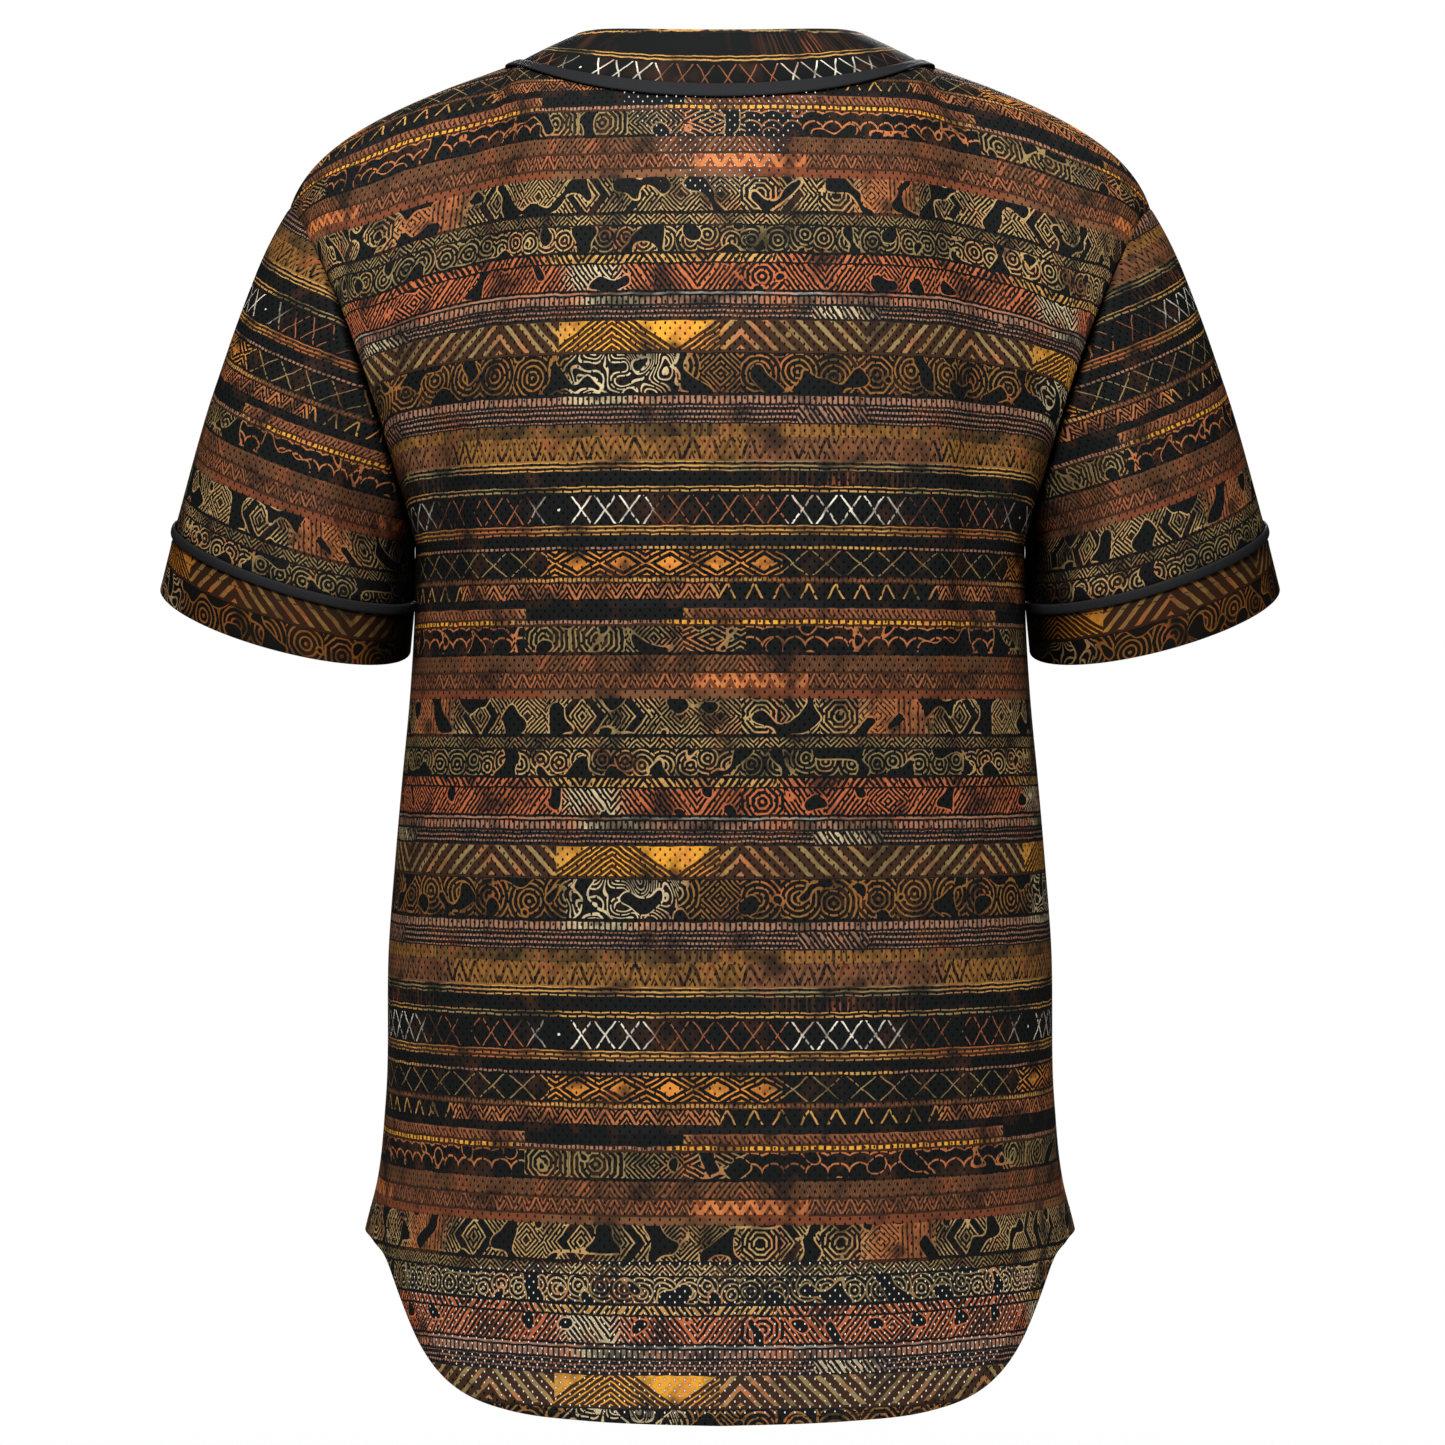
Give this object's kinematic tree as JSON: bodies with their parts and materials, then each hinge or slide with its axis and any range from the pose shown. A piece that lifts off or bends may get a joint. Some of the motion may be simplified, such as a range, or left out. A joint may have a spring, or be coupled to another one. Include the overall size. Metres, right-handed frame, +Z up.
{
  "type": "baseball jersey",
  "caption": "Short-sleeved button-front baseball jersey in printed mesh, filled out as worn, with black piping, a V neck and a curved shirt-tail hem.",
  "frame": {"origin": "middle of the neck opening, level with the points where the shoulder seams meet the neckline", "axes": "+X to the wearer's left, -Y to the front, +Z up"},
  "size_m": [0.6498, 0.2877, 0.7708],
  "materials": {
    "mesh_cloth": "perforated polyester mesh printed with bands of ochre, orange, brown and white ornament on charcoal",
    "band_cloth": "smooth closed polyester with the same print",
    "piping": "black knitted piping, matt",
    "button": "dark dished button, satin"
  },
  "bodies": {
    "root": {"back": "mesh_cloth", "front_left": "mesh_cloth", "front_right": "mesh_cloth", "sleeve_left": "mesh_cloth", "sleeve_right": "mesh_cloth", "cuff_left": "band_cloth", "cuff_right": "band_cloth", "neckband": "band_cloth", "placket": "band_cloth", "cuff_piping_left": "piping", "cuff_piping_right": "piping", "neck_piping": "piping", "button_1": "button", "button_2": "button", "button_3": "button", "button_4": "button", "button_5": "button", "button_6": "button"}
  },
  "joints": []
}
